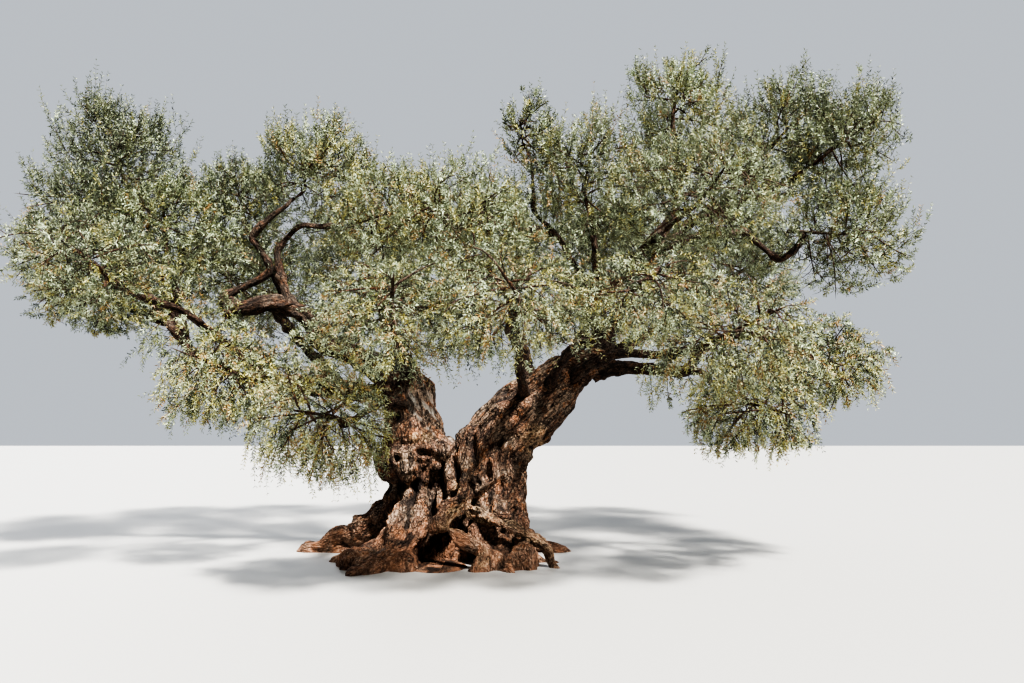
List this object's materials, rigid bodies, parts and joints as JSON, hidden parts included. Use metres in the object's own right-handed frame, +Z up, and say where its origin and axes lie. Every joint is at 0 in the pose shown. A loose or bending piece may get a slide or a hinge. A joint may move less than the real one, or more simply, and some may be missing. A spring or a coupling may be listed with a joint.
{
  "type": "olive tree",
  "caption": "Ancient olive tree with a short, wide, twisted trunk in two arms, buttress roots, contorted boughs and a low spreading crown of narrow grey-green leaves.",
  "frame": {"origin": "middle of the flat cut under the trunk, at ground level", "axes": "+Z up, +X to the right of the tree's front, towards the longer, leaning arm, +Y from the front to the back"},
  "size_m": [11.2522, 7.921, 6.6098],
  "materials": {
    "bark": "deeply furrowed, rough and dry",
    "foliage": "leathery leaves, silvery below"
  },
  "bodies": {
    "root": {"back_centre_bough": "bark", "back_centre_foliage": "foliage", "back_left_bough": "bark", "back_left_foliage": "foliage", "back_mid_left_bough": "bark", "back_mid_left_foliage": "foliage", "back_mid_right_bough": "bark", "back_mid_right_foliage": "foliage", "back_right_bough": "bark", "back_right_foliage": "foliage", "centre_crown_bough": "bark", "centre_crown_foliage": "foliage", "centre_high_bough": "bark", "centre_high_foliage": "foliage", "far_right_bough": "bark", "far_right_foliage": "foliage", "front_centre_bough": "bark", "front_centre_foliage": "foliage", "front_left_bough": "bark", "front_left_foliage": "foliage", "front_right_bough": "bark", "front_right_foliage": "foliage", "left_crest_bough": "bark", "left_crest_foliage": "foliage", "left_front_bough": "bark", "left_front_foliage": "foliage", "left_heart_bough": "bark", "left_heart_foliage": "foliage", "left_main_bough": "bark", "left_peak_bough": "bark", "left_peak_foliage": "foliage", "left_saddle_bough": "bark", "left_saddle_foliage": "foliage", "left_shoulder_bough": "bark", "left_shoulder_foliage": "foliage", "left_skirt_bough": "bark", "left_skirt_foliage": "foliage", "left_skirt_outer_bough": "bark", "left_skirt_outer_foliage": "foliage", "left_sweep_bough": "bark", "left_sweep_foliage": "foliage", "left_tip_bough": "bark", "left_tip_foliage": "foliage", "right_crest_bough": "bark", "right_crest_foliage": "foliage", "right_end_bough": "bark", "right_end_foliage": "foliage", "right_front_bough": "bark", "right_front_foliage": "foliage", "right_inner_bough": "bark", "right_inner_foliage": "foliage", "right_skirt_bough": "bark", "right_skirt_foliage": "foliage", "right_skirt_outer_bough": "bark", "right_skirt_outer_foliage": "foliage", "summit_bough": "bark", "summit_foliage": "foliage", "tall_tuft_bough": "bark", "tall_tuft_foliage": "foliage", "trunk": "bark"}
  },
  "joints": []
}
